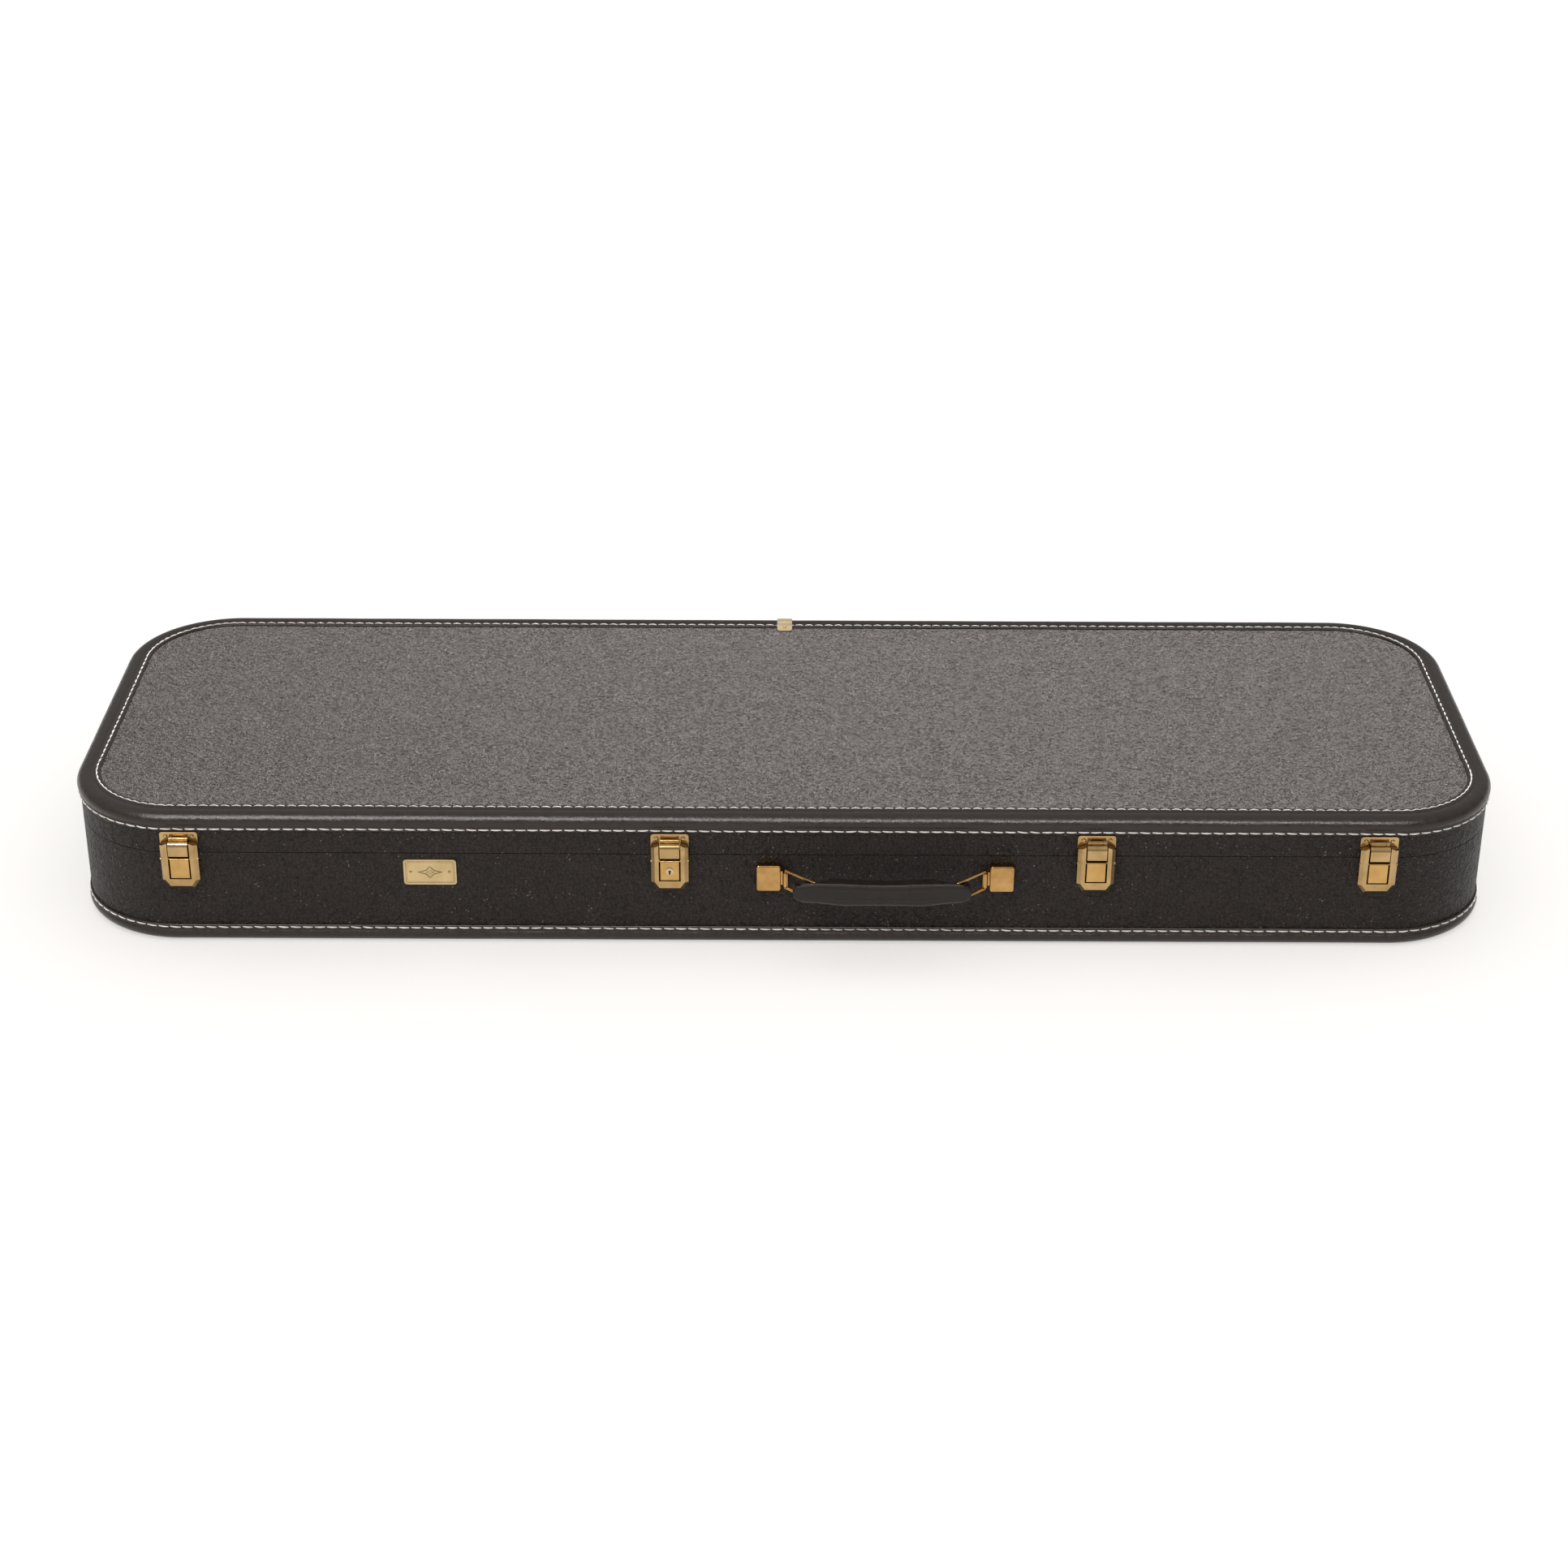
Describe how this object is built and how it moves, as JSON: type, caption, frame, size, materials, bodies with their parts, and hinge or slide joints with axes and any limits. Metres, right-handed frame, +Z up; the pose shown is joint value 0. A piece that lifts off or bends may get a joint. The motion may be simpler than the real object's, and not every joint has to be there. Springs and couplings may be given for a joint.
{
  "type": "electric guitar case",
  "caption": "Hard rectangular guitar case with a hinged lid, rolled and stitched edge binding, brass hasp latches, a lock, a hinged-ring carrying handle and a fitted plush interior.",
  "frame": {"origin": "on the ground, under the middle of the case's plan", "axes": "+X along the case towards the end that holds the guitar's body, +Y from the handle side to the hinge side, +Z up"},
  "size_m": [1.094, 0.394, 0.1108],
  "materials": {
    "vinyl_covering": "black-brown pebbled vinyl cloth",
    "binding_leather": "smooth black rolled binding",
    "plywood": "bare birch plywood",
    "plush": "wine red plush",
    "plush_foam": "foam block wrapped in plush",
    "brushed_brass": "brushed, lacquered",
    "polished_brass": "polished",
    "brass_pins": "plain",
    "steel_pins": "zinc plated",
    "lock_plug": "polished nickel",
    "grip_leather": "smooth black leather"
  },
  "bodies": {
    "base": {"base_covering": "vinyl_covering", "base_edge_binding": "binding_leather", "base_side_wall": "plywood", "base_bottom_panel": "plywood", "base_liner_board": "plywood", "base_wall_lining": "plush", "base_floor_lining": "plush", "neck_cradle": "plush_foam", "neck_side_block": "plush_foam", "body_block_front": "plush_foam", "body_block_back": "plush_foam", "accessory_box": "plush", "accessory_shelf": "plush", "name_plate": "brushed_brass", "handle_bracket_left": "polished_brass", "handle_bracket_right": "polished_brass", "latch_1_housing": "brushed_brass", "latch_1_lever_pin": "brass_pins", "latch_2_housing": "brushed_brass", "latch_2_lever_pin": "brass_pins", "latch_3_housing": "brushed_brass", "latch_3_lever_pin": "brass_pins", "latch_4_housing": "brushed_brass", "latch_4_lever_pin": "brass_pins", "hinge_1_base_leaf": "brushed_brass", "hinge_1_pin": "steel_pins", "hinge_2_base_leaf": "brushed_brass", "hinge_2_pin": "steel_pins", "hinge_3_base_leaf": "brushed_brass", "hinge_3_pin": "steel_pins"},
    "lid": {"lid_covering": "vinyl_covering", "lid_edge_binding": "binding_leather", "lid_side_wall": "plywood", "lid_top_panel": "plywood", "lid_wall_lining": "plush", "lid_top_lining": "plush", "back_clip": "brushed_brass", "latch_1_keeper": "brushed_brass", "latch_2_keeper": "brushed_brass", "latch_3_keeper": "brushed_brass", "latch_4_keeper": "brushed_brass", "hinge_1_lid_leaf": "brushed_brass", "hinge_2_lid_leaf": "brushed_brass", "hinge_3_lid_leaf": "brushed_brass"},
    "accessory_flap": {"accessory_flap": "plush"},
    "handle_grip": {"handle_grip": "grip_leather"},
    "handle_ring_left": {"handle_ring_left": "polished_brass"},
    "handle_ring_right": {"handle_ring_right": "polished_brass"},
    "hasp_1": {"latch_1_hasp": "brushed_brass"},
    "release_lever_1": {"latch_1_lever": "brushed_brass"},
    "hasp_2": {"latch_2_hasp": "brushed_brass"},
    "release_lever_2": {"latch_2_lever": "brushed_brass"},
    "hasp_3": {"latch_3_hasp": "brushed_brass"},
    "release_lever_3": {"latch_3_lever": "brushed_brass"},
    "hasp_4": {"latch_4_hasp": "brushed_brass"},
    "release_lever_4": {"latch_4_lever": "brushed_brass"},
    "lock_cylinder": {"lock_cylinder": "lock_plug"}
  },
  "joints": [
    {"name": "lid_hinge", "type": "hinge", "parent": "base", "child": "lid", "pos_m": [0, 0.1824, 0.077], "axis": [-1, 0, 0], "range_deg": [0, 105]},
    {"name": "hasp_1_flip", "type": "hinge", "parent": "lid", "child": "hasp_1", "pos_m": [-0.456, -0.1824, 0.0902], "axis": [-1, 0, 0], "range_deg": [0, 95]},
    {"name": "release_lever_1_lift", "type": "hinge", "parent": "base", "child": "release_lever_1", "pos_m": [-0.456, -0.1836, 0.0738], "axis": [-1, 0, 0], "range_deg": [0, 60]},
    {"name": "hasp_2_flip", "type": "hinge", "parent": "lid", "child": "hasp_2", "pos_m": [-0.086, -0.1824, 0.0902], "axis": [-1, 0, 0], "range_deg": [0, 95]},
    {"name": "release_lever_2_lift", "type": "hinge", "parent": "base", "child": "release_lever_2", "pos_m": [-0.086, -0.1836, 0.0738], "axis": [-1, 0, 0], "range_deg": [0, 60]},
    {"name": "hasp_3_flip", "type": "hinge", "parent": "lid", "child": "hasp_3", "pos_m": [0.236, -0.1824, 0.0902], "axis": [-1, 0, 0], "range_deg": [0, 95]},
    {"name": "release_lever_3_lift", "type": "hinge", "parent": "base", "child": "release_lever_3", "pos_m": [0.236, -0.1836, 0.0738], "axis": [-1, 0, 0], "range_deg": [0, 60]},
    {"name": "hasp_4_flip", "type": "hinge", "parent": "lid", "child": "hasp_4", "pos_m": [0.449, -0.1824, 0.0902], "axis": [-1, 0, 0], "range_deg": [0, 95]},
    {"name": "release_lever_4_lift", "type": "hinge", "parent": "base", "child": "release_lever_4", "pos_m": [0.449, -0.1836, 0.0738], "axis": [-1, 0, 0], "range_deg": [0, 60]},
    {"name": "key_turn", "type": "hinge", "parent": "release_lever_2", "child": "lock_cylinder", "pos_m": [-0.086, -0.1857, 0.0664], "axis": [0, -1, 0], "range_deg": [0, 90]},
    {"name": "handle_pull", "type": "slide", "parent": "base", "child": "handle_grip", "axis": [0, -1, 0], "range_m": [-0.003, 0.003]},
    {"name": "left_ring_swing", "type": "hinge", "parent": "base", "child": "handle_ring_left", "pos_m": [0.0015, -0.1832, 0.0582], "axis": [0, 0, -1], "range_deg": [-9.2, 9.2]},
    {"name": "right_ring_swing", "type": "hinge", "parent": "base", "child": "handle_ring_right", "pos_m": [0.1525, -0.1832, 0.0582], "axis": [0, 0, 1], "range_deg": [-9.2, 9.2]},
    {"name": "accessory_flap_lift", "type": "hinge", "parent": "base", "child": "accessory_flap", "pos_m": [-0.075, 0.1, 0.04805], "axis": [-1, 0, 0], "range_deg": [0, 80]}
  ],
  "couplings": [
    {"joint": "left_ring_swing", "follows": "handle_pull", "rad_per_m": 52},
    {"joint": "right_ring_swing", "follows": "handle_pull", "rad_per_m": 52}
  ]
}
